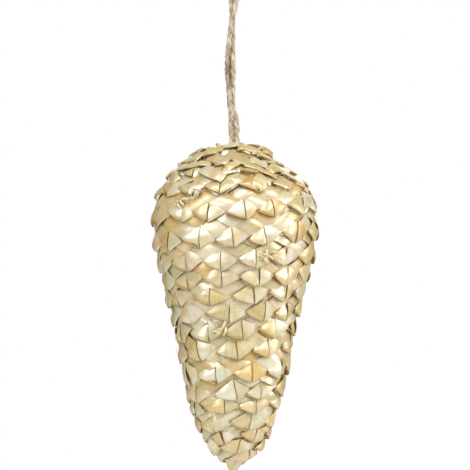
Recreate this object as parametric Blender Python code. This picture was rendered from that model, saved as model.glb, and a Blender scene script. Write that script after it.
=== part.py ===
"""Hanging cone ornament: one plait of folded straw points wound round and round into a cone,
wide end up, on a loop of jute twine that comes out of its crown."""

import bisect
import math
import random

import bmesh
import bpy
from mathutils import Vector
from mathutils.geometry import delaunay_2d_cdt

# Driving sizes, in metres
CONE_HEIGHT = 0.151
CONE_DIAMETER = 0.079
LOOP_HEIGHT = 0.0895  # from where the loop bears on its hook down to the crown
TWINE_DIAMETER = 0.0023
POINT_SPACING = 0.0172  # from one straw point to the next along the plait
PLAIT_THICKNESS = 0.0019  # how far each turn stands over the next
CROWN_HOLE_RADIUS = 0.0032  # the twine leaves the plait here
CROWN_HOLE_DEPTH = 0.0012
STUB_RADIUS = 0.0016  # the plait's first end, at the lower tip
FOLD_ROUNDING = 0.0009  # how far up a point its folded lower edge is rounded
FOLD_DROP = 0.0005  # how far that edge turns in
SLIT_WIDTH = 0.0003  # between the two halves of a point
SLIT_STEP = 0.0005  # one half stands this much over the other
POINT_LIFT = 0.0006  # how far a point's tip stands out from its turn
POINT_UNEVENNESS = 0.0004  # how far one tip may be out of line with its neighbours
SLOPE_REACH = 0.0015  # the cone's slope is read this far up and down from a spot
LEAST_TURN = 0.0030  # a turn narrower than this has no rounded fold
CLEARANCE = 0.0003  # between touching pieces

FOLD_ANGLE = math.radians(30)
LEAST_POINTS = 3  # in the smallest turns
SEED = 11

# The cone's outline from crown to tip: shares of half the diameter and of the height
OUTLINE = [
    (0.000, 1.000),
    (0.160, 1.000),
    (0.310, 0.998),
    (0.450, 0.986),
    (0.590, 0.955),
    (0.745, 0.922),
    (0.850, 0.890),
    (0.920, 0.858),
    (0.980, 0.818),
    (1.000, 0.765),
    (0.985, 0.700),
    (0.940, 0.632),
    (0.840, 0.530),
    (0.748, 0.440),
    (0.690, 0.350),
    (0.625, 0.262),
    (0.535, 0.175),
    (0.445, 0.110),
    (0.320, 0.052),
    (0.190, 0.018),
    (0.000, 0.000),
]

# The plait's turns from crown to tip: where each turn's front point hangs, as degrees round
# from the front (right is positive) and as a share of the way down over the outline
TURNS = [
    (0, 0.017),
    (25, 0.050),
    (-12, 0.085),
    (20, 0.122),
    (15, 0.162),
    (-11, 0.202),
    (-12, 0.256),
    (6, 0.324),
    (-2, 0.395),
    (-10, 0.452),
    (-11, 0.498),
    (13, 0.539),
    (-8, 0.588),
    (8, 0.629),
    (2, 0.678),
    (18, 0.735),
    (-3, 0.784),
    (-18, 0.819),
    (24, 0.866),
    (-20, 0.898),
    (9, 0.931),
    (40, 0.961),
    (0, 0.991),
]

# The twine's route in millimetres, up one leg, round the loop and down the other
TWINE_ROUTE_MM = [
    (-1.55, 0.0, -88.1),
    (-1.90, -0.1, -81.2),
    (-1.80, -0.8, -76.5),
    (-2.30, -1.2, -71.9),
    (-2.70, -1.1, -67.2),
    (-3.10, -0.8, -62.6),
    (-3.55, -0.2, -53.3),
    (-3.20, -0.8, -46.3),
    (-2.70, -1.1, -41.7),
    (-2.00, -1.3, -37.1),
    (-1.40, -1.3, -32.4),
    (-0.30, -1.2, -27.8),
    (0.80, -0.8, -23.1),
    (2.40, -0.3, -18.5),
    (5.20, 0.0, -11.4),
    (6.10, 0.1, -5.0),
    (4.40, 0.1, -0.65),
    (0.00, 0.0, 1.15),
    (-4.40, 0.0, -0.65),
    (-6.10, -0.1, -5.0),
    (-4.90, 0.0, -11.4),
    (-2.70, 0.3, -18.5),
    (-1.80, 0.8, -23.1),
    (-1.45, 1.2, -27.8),
    (-1.20, 1.3, -32.4),
    (-1.10, 1.3, -37.1),
    (-1.15, 1.2, -41.7),
    (-1.10, 0.9, -46.3),
    (-0.90, 0.2, -53.3),
    (-1.00, 0.8, -62.6),
    (-1.10, 1.1, -67.2),
    (-1.00, 1.2, -71.9),
    (0.20, 0.8, -76.5),
    (0.75, 0.1, -81.2),
    (1.05, 0.0, -88.1),
]


def clear_scene():
    for thing in list(bpy.data.objects):
        bpy.data.objects.remove(thing)


def smooth_curve(points, steps):
    """Points on a smooth curve that passes through all the given ones."""
    given = [Vector(p) for p in points]
    given = [2 * given[0] - given[1], *given, 2 * given[-1] - given[-2]]
    curve = []
    for a, b, c, d in zip(given, given[1:], given[2:], given[3:]):
        for i in range(steps):
            t = i / steps
            linear = (c - a) * t
            square = (2 * a - 5 * b + 4 * c - d) * t**2
            cube = (3 * b - a - 3 * c + d) * t**3
            curve.append((2 * b + linear + square + cube) / 2)
    return [*curve, given[-2]]


def lengths_along(points):
    total = [0.0]
    for a, b in zip(points, points[1:]):
        total.append(total[-1] + (b - a).length)
    return total


def read_at(x, xs, values):
    """The value at x of a line through (xs, values), held level past its ends."""
    i = min(max(bisect.bisect_right(xs, x), 1), len(xs) - 1)
    share = min(max((x - xs[i - 1]) / (xs[i] - xs[i - 1]), 0.0), 1.0)
    return values[i - 1] * (1 - share) + values[i] * share


def even_points(points, spacing):
    run = lengths_along(points)
    count = round(run[-1] / spacing)
    return [read_at(run[-1] * i / count, run, points) for i in range(count + 1)]


class Cone:
    """The smooth cone that the plait is wound on, measured down over its surface."""

    def __init__(self):
        half = CONE_DIAMETER / 2
        shares = smooth_curve(OUTLINE, 12)
        self.line = [Vector((max(s.x, 0.0) * half, s.y * CONE_HEIGHT)) for s in shares]
        self.run = lengths_along(self.line)
        self.length = self.run[-1]
        self.base = -LOOP_HEIGHT - CONE_HEIGHT

    def radius(self, down):
        return read_at(down, self.run, self.line).x

    def place(self, turn, down, height):
        """A point by turns round from the front, way down, and height over the surface."""
        ahead = read_at(down + SLOPE_REACH, self.run, self.line)
        slope = (ahead - read_at(down - SLOPE_REACH, self.run, self.line)).normalized()
        spot = read_at(down, self.run, self.line) + Vector((-slope.y, slope.x)) * height
        angle = -math.pi / 2 - math.tau * turn
        out = max(spot.x, 0.0)
        return Vector((out * math.cos(angle), out * math.sin(angle), self.base + spot.y))


class Plait:
    """Where the plait's lower edge runs and where its points hang."""

    def __init__(self, cone):
        self.cone = cone
        self.first = CROWN_HOLE_RADIUS
        self.last = cone.length - STUB_RADIUS
        fronts = [Vector((k - a / 360, s * cone.length)) for k, (a, s) in enumerate(TURNS)]
        line = smooth_curve(fronts, 8)
        self.turns = [p.x for p in line]
        self.downs = [p.y for p in line]
        self.tips = self.spread_points(fronts)
        self.end = self.tips[-1]
        self.start = self.tips[0]

    def down(self, turn):
        return read_at(turn, self.turns, self.downs)

    def spread_points(self, fronts):
        """The turn of every point, evenly spread between one front point and the next."""
        chance = random.Random(SEED)
        tips = []
        for here, there in zip(fronts, fronts[1:]):
            around = math.tau * self.cone.radius((here.y + there.y) / 2) * (there.x - here.x)
            count = max(LEAST_POINTS, round(around / POINT_SPACING))
            for i in range(count):
                nudge = chance.uniform(-0.12, 0.12) if i else 0.0
                tips.append(here.x + (there.x - here.x) * (i + nudge) / count)
        return [*tips, fronts[-1].x]

    def width(self, turn):
        """How much of a turn shows, from the edge of the turn above to its own."""
        above = self.down(turn - 1) if turn - 1 > self.start else self.first
        return max(min(self.down(turn), self.last) - above, 0.0)

    def fade(self, turn):
        """0 at the plait's two ends and 1 everywhere else."""
        return min(1.0, max(0.0, min(turn - self.start, self.end - turn) / 0.7))


def folded_edge(plait):
    """The plait's lower edge as (turn, down, height, kind), with two tips and a notch a point."""
    chance = random.Random(SEED + 1)
    edge = []
    for here, there in zip(plait.tips[1:-1], plait.tips[2:]):
        radius = max(plait.cone.radius(plait.down(here)), CROWN_HOLE_RADIUS)
        slit = SLIT_WIDTH / 2 / (math.tau * radius)
        fade = plait.fade(here)
        lift = (POINT_LIFT + POINT_UNEVENNESS * chance.uniform(-0.75, 1)) * fade
        step = SLIT_STEP * chance.choice((-0.5, 0.5)) * fade
        low = plait.down(here) + POINT_UNEVENNESS * chance.uniform(-1, 1) * fade
        edge.append((here - slit, low, lift + step, "tip"))
        edge.append((here + slit, low, lift - step, "tip"))
        middle = (here + there) / 2
        rise = (there - here) / 2 * math.tau * radius * math.tan(FOLD_ANGLE)
        rise = min(rise, 0.6 * plait.width(middle)) * plait.fade(middle)
        sink = -POINT_LIFT * plait.fade(middle)
        edge.append((middle, plait.down(middle) - rise, sink, "notch"))
    return edge[:-1]


class Drawing:
    """The creases of the unrolled plait, as points and lines on a flat sheet."""

    def __init__(self, plait):
        self.plait = plait
        self.spots, self.heights, self.lines = [], [], []
        samples = [plait.start + i * 0.05 for i in range(round((plait.end + 1.5) / 0.05))]
        self.samples, self.across = samples, [0.0]
        for a, b in zip(samples, samples[1:]):
            radius = max(plait.cone.radius(plait.down((a + b) / 2)), CROWN_HOLE_RADIUS)
            self.across.append(self.across[-1] + (b - a) * math.tau * radius)

    def add(self, turn, down, height):
        self.spots.append(Vector((read_at(turn, self.samples, self.across), down)))
        self.heights.append(height)
        return len(self.spots) - 1

    def join(self, *spots):
        self.lines += zip(spots, spots[1:])

    def turn(self, spot):
        return read_at(spot.x, self.across, self.samples)


def draw_plait(plait):
    """Draws the strip between the turn above and its own edge, with each point's creases."""
    drawing = Drawing(plait)
    edge = folded_edge(plait)
    depth = [-PLAIT_THICKNESS * plait.fade(turn) for turn, *_ in edge]
    start = drawing.add(plait.start, plait.first, -CROWN_HOLE_DEPTH)
    low = [drawing.add(turn, down, height - FOLD_DROP) for turn, down, height, _ in edge]
    end = drawing.add(plait.end, plait.last, 0.0)
    start_again = drawing.add(plait.start + 1, plait.first, -CROWN_HOLE_DEPTH)
    high = [drawing.add(e[0] + 1, e[1], d) for e, d in zip(edge, depth)]
    end_again = drawing.add(plait.end + 1, plait.last, 0.0)
    around = [i / 8 for i in range(1, 8)]
    rim = [drawing.add(plait.start + a, plait.first, -CROWN_HOLE_DEPTH) for a in around]
    stub = [drawing.add(plait.end + a, plait.last, 0.0) for a in around]
    lower = [start, *low, end]
    upper = [start_again, *high, end_again]
    drawing.join(*lower)
    drawing.join(end, *stub, end_again)
    drawing.join(start, *rim, start_again)
    drawing.join(*upper)

    previous_top = previous_notch = None
    for i in range(0, len(edge) - 1, 3):
        left, right = edge[i], edge[i + 1]
        turn = (left[0] + right[0]) / 2
        if plait.width(turn) < LEAST_TURN:
            previous_top = previous_notch = None
            continue
        up = FOLD_ROUNDING
        rolls = [drawing.add(e[0], e[1] - up, e[2]) for e in (left, right)]
        notch_rise = left[1] - (edge[i + 2][1] if i + 2 < len(edge) else left[1])
        slit_top = left[1] - max(2 * notch_rise, 2 * up)
        share = min(1.0, (left[1] - slit_top) / plait.width(turn))
        top = drawing.add(turn, slit_top, -PLAIT_THICKNESS * share)
        for tip, roll in zip(low[i : i + 2], rolls):
            drawing.join(tip, roll, top)
        if previous_notch is not None:
            drawing.join(previous_top, previous_notch, top)
            drawing.join(previous_notch, rolls[0])
        previous_top = previous_notch = None
        if i + 2 < len(edge):
            notch = edge[i + 2]
            previous_notch = drawing.add(notch[0], notch[1] - up, notch[2])
            previous_top = top
            drawing.join(rolls[1], previous_notch)
    return drawing, lower, upper, rim, stub


def make_straw_cone(collection):
    """Lofts the skin of the plait between its two unlike sawtooth edges, turn on turn."""
    cone = Cone()
    plait = Plait(cone)
    drawing, lower, upper, rim, stub = draw_plait(plait)
    spots, lines, faces, old_spots, old_lines, _ = delaunay_2d_cdt(
        drawing.spots, drawing.lines, [], 0, 1e-7
    )
    lower_line = [drawing.spots[i] for i in (*lower, *stub, upper[-1])]
    upper_line = [drawing.spots[i] for i in (lower[0], *rim, *upper)]

    def between_edges(face):
        middle = sum((spots[i] for i in face), Vector((0, 0))) / len(face)
        top = read_at(middle.x, [p.x for p in upper_line], [p.y for p in upper_line])
        bottom = read_at(middle.x, [p.x for p in lower_line], [p.y for p in lower_line])
        return top < middle.y < bottom

    skin = bmesh.new()
    corners = []
    for spot, old in zip(spots, old_spots):
        turn = drawing.turn(spot)
        share = (plait.down(turn) - spot.y) / max(plait.width(turn), 1e-6)
        height = -PLAIT_THICKNESS * min(max(share, 0.0), 1.0)
        if old:
            height = drawing.heights[old[0]]
        corners.append(skin.verts.new(cone.place(turn, spot.y, height)))
    for face in faces:
        if between_edges(face):
            skin.faces.new([corners[i] for i in face])

    new_name = {old: i for i, olds in enumerate(old_spots) for old in olds}
    on_line = {}
    for line, olds in zip(lines, old_lines):
        for old in olds:
            on_line.setdefault(old, set()).update(line)
    number = {line: i for i, line in enumerate(drawing.lines)}
    for k in range(len(lower) - 1):
        a, b = new_name[lower[k]], new_name[lower[k + 1]]
        c, d = upper[k], upper[k + 1]
        crossed = sorted(on_line[number[(c, d)]], key=lambda i: spots[i].x)
        first, final = corners[crossed[0]].co.copy(), corners[crossed[-1]].co.copy()
        for i in crossed[1:-1]:
            share = (spots[i].x - spots[crossed[0]].x) / (spots[crossed[-1]].x - spots[crossed[0]].x)
            corners[i].co = first.lerp(final, share)
        skin.faces.new([corners[i] for i in (a, b, *reversed(crossed))])
    bmesh.ops.remove_doubles(skin, verts=skin.verts, dist=0.00001)
    bmesh.ops.delete(skin, geom=[v for v in skin.verts if not v.link_faces], context="VERTS")
    bmesh.ops.holes_fill(skin, edges=[e for e in skin.edges if e.is_boundary])
    bmesh.ops.triangulate(skin, faces=[f for f in skin.faces if len(f.verts) > 3])
    bmesh.ops.recalc_face_normals(skin, faces=skin.faces)
    return finish_mesh("straw_cone", skin, collection)


def finish_mesh(name, shape, collection):
    mesh = bpy.data.meshes.new(name)
    shape.to_mesh(mesh)
    shape.free()
    thing = bpy.data.objects.new(name, mesh)
    collection.objects.link(thing)
    return thing


def make_hanging_cord(collection):
    """One length of twine: up out of the crown, round the loop and down into it again."""
    route = [Vector(p) * 0.001 for p in TWINE_ROUTE_MM]
    floor = -LOOP_HEIGHT - CROWN_HOLE_DEPTH + CLEARANCE
    ends = [Vector((p.x, p.y, floor)) for p in (route[0], route[-1])]
    points = even_points(smooth_curve([ends[0], *route, ends[1]], 12), 2 * TWINE_DIAMETER)
    curve = bpy.data.curves.new("hanging_cord", "CURVE")
    curve.dimensions = "3D"
    curve.bevel_depth = TWINE_DIAMETER / 2
    curve.bevel_resolution = 2
    curve.use_fill_caps = True
    spline = curve.splines.new("POLY")
    spline.points.add(len(points) - 1)
    for knot, point in zip(spline.points, points):
        knot.co = (*point, 1.0)
    thing = bpy.data.objects.new("hanging_cord", curve)
    collection.objects.link(thing)
    return thing


def finish(thing, name, color, roughness):
    material = bpy.data.materials.new(name)
    material.use_nodes = True
    shader = material.node_tree.nodes["Principled BSDF"]
    shader.inputs["Base Color"].default_value = (*color, 1.0)
    shader.inputs["Roughness"].default_value = roughness
    shader.inputs["Metallic"].default_value = 0.0
    thing.data.materials.append(material)


def main():
    clear_scene()
    ornament = bpy.data.collections.new("hanging_cone_ornament")
    bpy.context.scene.collection.children.link(ornament)
    finish(make_straw_cone(ornament), "folded_straw", (0.78, 0.66, 0.42), 0.38)
    finish(make_hanging_cord(ornament), "jute_twine", (0.55, 0.43, 0.29), 0.9)


main()
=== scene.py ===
"""Hanging cone ornament: one plait of folded straws wound round and round into a cone, wide
end up, on a doubled loop of two-ply jute twine. Sizes are in metres."""

import bisect
import math
import random

import bmesh
import bpy
from mathutils import Matrix, Vector, noise


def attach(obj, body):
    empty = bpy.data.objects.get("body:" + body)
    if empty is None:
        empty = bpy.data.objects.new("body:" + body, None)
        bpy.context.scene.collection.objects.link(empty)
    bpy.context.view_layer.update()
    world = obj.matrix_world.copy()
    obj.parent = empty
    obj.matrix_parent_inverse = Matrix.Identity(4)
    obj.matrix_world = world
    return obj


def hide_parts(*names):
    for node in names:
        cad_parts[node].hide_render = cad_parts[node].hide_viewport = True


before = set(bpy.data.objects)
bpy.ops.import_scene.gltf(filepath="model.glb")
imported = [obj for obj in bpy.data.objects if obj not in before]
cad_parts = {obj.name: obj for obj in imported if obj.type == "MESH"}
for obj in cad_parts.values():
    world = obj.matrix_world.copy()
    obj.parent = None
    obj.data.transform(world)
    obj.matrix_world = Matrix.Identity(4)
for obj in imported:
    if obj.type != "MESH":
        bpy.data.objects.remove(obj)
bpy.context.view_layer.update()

# The solids' own sizes
CONE_HEIGHT = 0.151
CONE_DIAMETER = 0.079
LOOP_HEIGHT = 0.0895
POINT_SPACING = 0.0172
PLAIT_THICKNESS = 0.0019
CROWN_HOLE_RADIUS = 0.0032
CROWN_HOLE_DEPTH = 0.0012
STUB_RADIUS = 0.0016
POINT_LIFT = 0.0006
POINT_UNEVENNESS = 0.0004
SLOPE_REACH = 0.0015
CLEARANCE = 0.0003
FOLD_ANGLE = math.radians(30)
LEAST_POINTS = 3
SEED = 11

# Straw
STRAW_THICKNESS = 0.00026
FOLD_RADIUS = 0.0009
SLIT_FOLD = 0.00035  # radius of the fold into a point's slit
STRAW_INSET = 0.0008
TIP_SWAY = 0.0008  # how far the points' tips stray along their turn
BLUNT_REACH = 0.004  # how far from its slit the lower edge of a point is blunt
LEAST_SLIT = 0.0022
LEAST_SHOWN = 0.002
LEAST_RISE = 0.0016  # from one crossing of the straps to the next
MOST_CROSSINGS = 7
CROSSINGS_REACH = 0.009  # how far the straps go on under the turn above
NOTCH_LIMIT = 0.6  # the highest notch between two points, as a share of the turn's width
FADE_TURNS = 0.7  # over how many turns the points grow at the plait's two ends
CROWN_REACH = 0.045  # how far down from the top the straws lie more loosely
CROWN_MARGIN = 0.003  # how near the top a loose straw may come
CRUMPLE_HEIGHT = 0.00011
CRUMPLES = 260  # a metre

# Dents in the crown: depth, then how far down each starts, is full, begins to fade and ends
SHOULDER_DENT = (0.0022, 0.010, 0.022, 0.032, 0.046)  # on the right
BROW_DENT = (0.0008, 0.010, 0.016, 0.022, 0.034)  # on the left

# The dark inside: its gap to the plait, its depth at the tip, where above the tip it gets
# deeper, and over what height
INSIDE_GAP = 0.0014
INSIDE_TIP_DEPTH = 0.0016
INSIDE_TIP_HEIGHT = 0.006
INSIDE_SLOPE_HEIGHT = 0.020

# Twine
PLY_RADIUS = 0.00084
PLY_OFFSET = 0.00037
TWIST_LENGTH = 0.0080
TWIST_WAVER = (0.7, 240)  # how uneven the twist is, in radians and radians a metre
PLY_WAVER = (0.22, 720)  # how unevenly the plies stand apart, a share and radians a metre
TWINE_STEP = 0.0008  # between one ring of the twine and the next
FELTED_SPANS = [(-0.0680, -0.0440), (-0.0890, -0.0790)]  # where fibres join the two legs
FELT_RADIUS = 0.00058
HAIRS = 620
HAIR_LENGTHS = (0.0015, 0.0060)
HAIR_LIFTS = (0.0002, 0.0004, 0.0013)
HAIR_SLANT = 0.7  # how much of a hair's length runs along the twine
HAIR_TURN = 0.0015  # the length over which a hair goes one radian round
FIBRE_GIRTH = 0.004  # how far the pattern of the fibres runs round a tube

# Marks on the twine, painted shade in the seam between the legs and a grey side: middle and half
# width in x and in z, in metres
SEAM_SHADE = (-0.0024, 0.0008, -0.0555, 0.0080)
GREY_SIDE = (-0.0048, 0.0016, -0.0610, 0.0150)

# The photograph's frame: its centre's height and its width
VIEW_HEIGHT = -0.13222
VIEW_WIDTH = 0.21827
VIEW_DISTANCE = 1.8

# The studio: its pale round floor, the height that the lights are aimed at, and each soft
# light's name, place, size, power and colour
FLOOR_RADIUS = 0.55
FLOOR_HEIGHT = -0.31
AIM_HEIGHT = VIEW_HEIGHT - 0.03
SOFTBOXES = [
    ("key_softbox", (0.8, -0.75, 0.65), 0.35, 6.3, (1, 0.98, 0.94)),
    ("side_softbox", (0.95, -0.05, 0.0), 0.6, 3.9, (1, 0.98, 0.94)),
    ("fill_softbox", (-0.8, -0.8, 0.25), 0.7, 6.1, (0.90, 0.95, 1)),
    ("high_softbox", (-0.15, -0.8, 1.0), 0.6, 7.8, (1, 1, 1)),
    ("right_softbox", (0.4, -1.25, -0.1), 0.4, 0.7, (1, 1, 1)),
    ("left_softbox", (-0.35, -1.3, 0.1), 0.3, 0.35, (1, 1, 1)),
    ("back_softbox", (0.1, 1.2, 0.35), 0.9, 4.0, (1, 1, 1)),
]

# The cone's outline from crown to tip: shares of half the diameter and of the height
OUTLINE = [
    (0.000, 1.000),
    (0.160, 1.000),
    (0.310, 0.998),
    (0.450, 0.986),
    (0.590, 0.955),
    (0.745, 0.922),
    (0.850, 0.890),
    (0.920, 0.858),
    (0.980, 0.818),
    (1.000, 0.765),
    (0.985, 0.700),
    (0.940, 0.632),
    (0.840, 0.530),
    (0.748, 0.440),
    (0.690, 0.350),
    (0.625, 0.262),
    (0.535, 0.175),
    (0.445, 0.110),
    (0.320, 0.052),
    (0.190, 0.018),
    (0.000, 0.000),
]

# Each turn's front point: degrees round from the front and share of the way down
TURNS = [
    (0, 0.017),
    (25, 0.050),
    (-12, 0.085),
    (20, 0.122),
    (15, 0.162),
    (-11, 0.202),
    (-12, 0.256),
    (6, 0.324),
    (-2, 0.395),
    (-10, 0.452),
    (-11, 0.498),
    (13, 0.539),
    (-8, 0.588),
    (8, 0.629),
    (2, 0.678),
    (18, 0.735),
    (-3, 0.784),
    (-18, 0.819),
    (24, 0.866),
    (-20, 0.898),
    (9, 0.931),
    (40, 0.961),
    (0, 0.991),
]

# The twine's route in millimetres: up one leg, round the loop and down the other
TWINE_ROUTE_MM = [
    (-1.55, 0.0, -88.1),
    (-1.90, -0.1, -81.2),
    (-1.80, -0.8, -76.5),
    (-2.30, -1.2, -71.9),
    (-2.70, -1.1, -67.2),
    (-3.10, -0.8, -62.6),
    (-3.55, -0.2, -53.3),
    (-3.20, -0.8, -46.3),
    (-2.70, -1.1, -41.7),
    (-2.00, -1.3, -37.1),
    (-1.40, -1.3, -32.4),
    (-0.30, -1.2, -27.8),
    (0.80, -0.8, -23.1),
    (2.40, -0.3, -18.5),
    (5.20, 0.0, -11.4),
    (6.10, 0.1, -5.0),
    (4.40, 0.1, -0.65),
    (0.00, 0.0, 1.15),
    (-4.40, 0.0, -0.65),
    (-6.10, -0.1, -5.0),
    (-4.90, 0.0, -11.4),
    (-2.70, 0.3, -18.5),
    (-1.80, 0.8, -23.1),
    (-1.45, 1.2, -27.8),
    (-1.20, 1.3, -32.4),
    (-1.10, 1.3, -37.1),
    (-1.15, 1.2, -41.7),
    (-1.10, 0.9, -46.3),
    (-0.90, 0.2, -53.3),
    (-1.00, 0.8, -62.6),
    (-1.10, 1.1, -67.2),
    (-1.00, 1.2, -71.9),
    (0.20, 0.8, -76.5),
    (0.75, 0.1, -81.2),
    (1.05, 0.0, -88.1),
]

# Loose straps, on the crown but for the last one: degrees round from the front, then in
# millimetres the way down, length and width, the slant in degrees, the lift in
# millimetres, and how much sheen is painted on
LOOSE_STRAPS = [
    (20, 40.5, 9, 6.0, 52, 0.9, 1.0),
    (-20, 35.5, 14, 6.5, -24, 0.9, 1.0),
    (25, 33.0, 16, 3.8, -30, 1.0, 0.1),
    (-46, 30.5, 20, 4.6, 12, 1.0, 0.2),
    (27, 27.5, 9, 6.5, -28, 1.1, 1.0),
    (5, 25.5, 14, 5.6, -36, 1.0, 0.2),
    (-18, 26.0, 11, 5.6, -16, 1.2, 1.0),
    (-2, 30.0, 8, 4.2, 40, 1.0, 0.7),
    (-35, 19.0, 10, 4.4, 20, 1.1, 0.1),
    (24, 17.0, 11, 5.2, -8, 1.1, 0.9),
    (44, 22.0, 8, 4.4, -30, 1.0, 0.3),
    (42, 31.0, 9, 4.6, 24, 1.0, 0.9),
    (-6, 15.0, 8, 5.6, 6, 1.3, 0.9),
    (56, 36.0, 9, 4.2, -40, 0.9, 0.5),
    (-66, 24.0, 12, 5.0, 20, 0.8, 0.9),
    (-60, 38.0, 9, 5.0, -35, 0.8, 1.0),
    (4, 10.0, 8, 3.5, -20, 1.0, 0.3),
    (-46, 168.5, 7, 6.0, -46, 1.4, 1.0),
]
LOOSE_STRAPS_BEHIND = 16
BEHIND = (75, 285)  # where those are spread, in degrees round from the front

# Crumpled knots of straw: degrees round from the front, the way down and the reach in metres
KNOTS = [
    (22.5, 0.0773, 0.0062),
    (-15.0, 0.1110, 0.0072),
    (-40.0, 0.0510, 0.0055),
    (-30.0, 0.0475, 0.0045),
    (150.0, 0.0620, 0.0050),
]
KNOT_STRIPS = 6

# The straws' cut ends that draw together below the tip
STUB_TOP = 0.0044  # above the cone's lowest point
STUB_HEIGHT = 0.0056
STUB_TOP_RADIUS = 0.0056
STUB_END_RADIUS = 0.0009
STUB_SIDE = -0.0012  # how far to the left they end
STUB_TAPER = 0.65
STUB_CURVE = 60  # how strongly each is curved across its width

# Each cut end: turns round from the right, how much longer it is, and its width
STUB_STRAWS = [
    (0.68, 0.0003, 0.0058),
    (0.86, 0.0009, 0.0052),
    (0.02, 0.0006, 0.0056),
    (0.20, 0.0001, 0.0058),
    (0.36, 0.0008, 0.0054),
    (0.52, 0.0004, 0.0056),
]

# Loose fine fibres in front: degrees round from the front and millimetres down
LOOSE_FIBRES = [
    (-22, 26), (-18, 28), (-12, 27), (-8, 30), (-25, 31), (10, 24), (30, 27), (-38, 33),
    (45, 42), (-30, 46), (24, 77), (21, 79), (-14, 110), (-18, 113), (-35, 60), (40, 95),
    (-40, 52), (55, 66), (-5, 135), (12, 150),
]
LOOSE_FIBRES_ELSEWHERE = 26
ELSEWHERE = (100, 260)  # where those are, in degrees round from the front


def smooth_curve(points, steps):
    """Points on a smooth curve that passes through all the given ones."""
    given = [Vector(p) for p in points]
    given = [2 * given[0] - given[1], *given, 2 * given[-1] - given[-2]]
    curve = []
    for a, b, c, d in zip(given, given[1:], given[2:], given[3:]):
        for i in range(steps):
            t = i / steps
            linear = (c - a) * t
            square = (2 * a - 5 * b + 4 * c - d) * t**2
            cube = (3 * b - a - 3 * c + d) * t**3
            curve.append((2 * b + linear + square + cube) / 2)
    return [*curve, given[-2]]


def lengths_along(points):
    total = [0.0]
    for a, b in zip(points, points[1:]):
        total.append(total[-1] + (b - a).length)
    return total


def read_at(x, xs, values):
    """The value at x of a line through (xs, values), held level past its ends."""
    i = min(max(bisect.bisect_right(xs, x), 1), len(xs) - 1)
    share = min(max((x - xs[i - 1]) / (xs[i] - xs[i - 1]), 0.0), 1.0)
    return values[i - 1] * (1 - share) + values[i] * share


def even_points(points, spacing):
    run = lengths_along(points)
    count = round(run[-1] / spacing)
    return [read_at(run[-1] * i / count, run, points) for i in range(count + 1)]


def limit(value, low=0.0, high=1.0):
    return min(max(value, low), high)


def ease(value):
    value = limit(value)
    return value * value * (3 - 2 * value)


def blend(a, b, share):
    return a + (b - a) * share


def headings(angle):
    """The direction at an angle from the right, and the one square to it."""
    run = Vector((math.cos(angle), math.sin(angle)))
    return run, Vector((-run.y, run.x))


def dent_depth(dent, down):
    """How deep a dent is, some way down over the cone."""
    depth, start, full, fading, end = dent
    return depth * ease((down - start) / (full - start)) * ease((end - down) / (end - fading))


class Cone:
    """The smooth cone that the plait is wound on, measured down over its surface."""

    def __init__(self):
        half = CONE_DIAMETER / 2
        shares = smooth_curve(OUTLINE, 12)
        self.line = [Vector((max(s.x, 0.0) * half, s.y * CONE_HEIGHT)) for s in shares]
        self.run = lengths_along(self.line)
        self.length = self.run[-1]
        self.base = -LOOP_HEIGHT - CONE_HEIGHT

    def radius(self, down):
        return read_at(down, self.run, self.line).x

    def place(self, turn, down, height):
        """A point by turns round from the front, way down, and height over the surface."""
        ahead = read_at(down + SLOPE_REACH, self.run, self.line)
        slope = (ahead - read_at(down - SLOPE_REACH, self.run, self.line)).normalized()
        leftward = math.sin(math.tau * turn)
        height -= STRAW_INSET
        height -= ease(-leftward) * dent_depth(SHOULDER_DENT, down)
        height -= ease(1.3 * leftward) * dent_depth(BROW_DENT, down)
        spot = read_at(down, self.run, self.line) + Vector((-slope.y, slope.x)) * height
        angle = -math.pi / 2 - math.tau * turn
        out = max(spot.x, 0.0)
        return Vector((out * math.cos(angle), out * math.sin(angle), self.base + spot.y))


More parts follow.
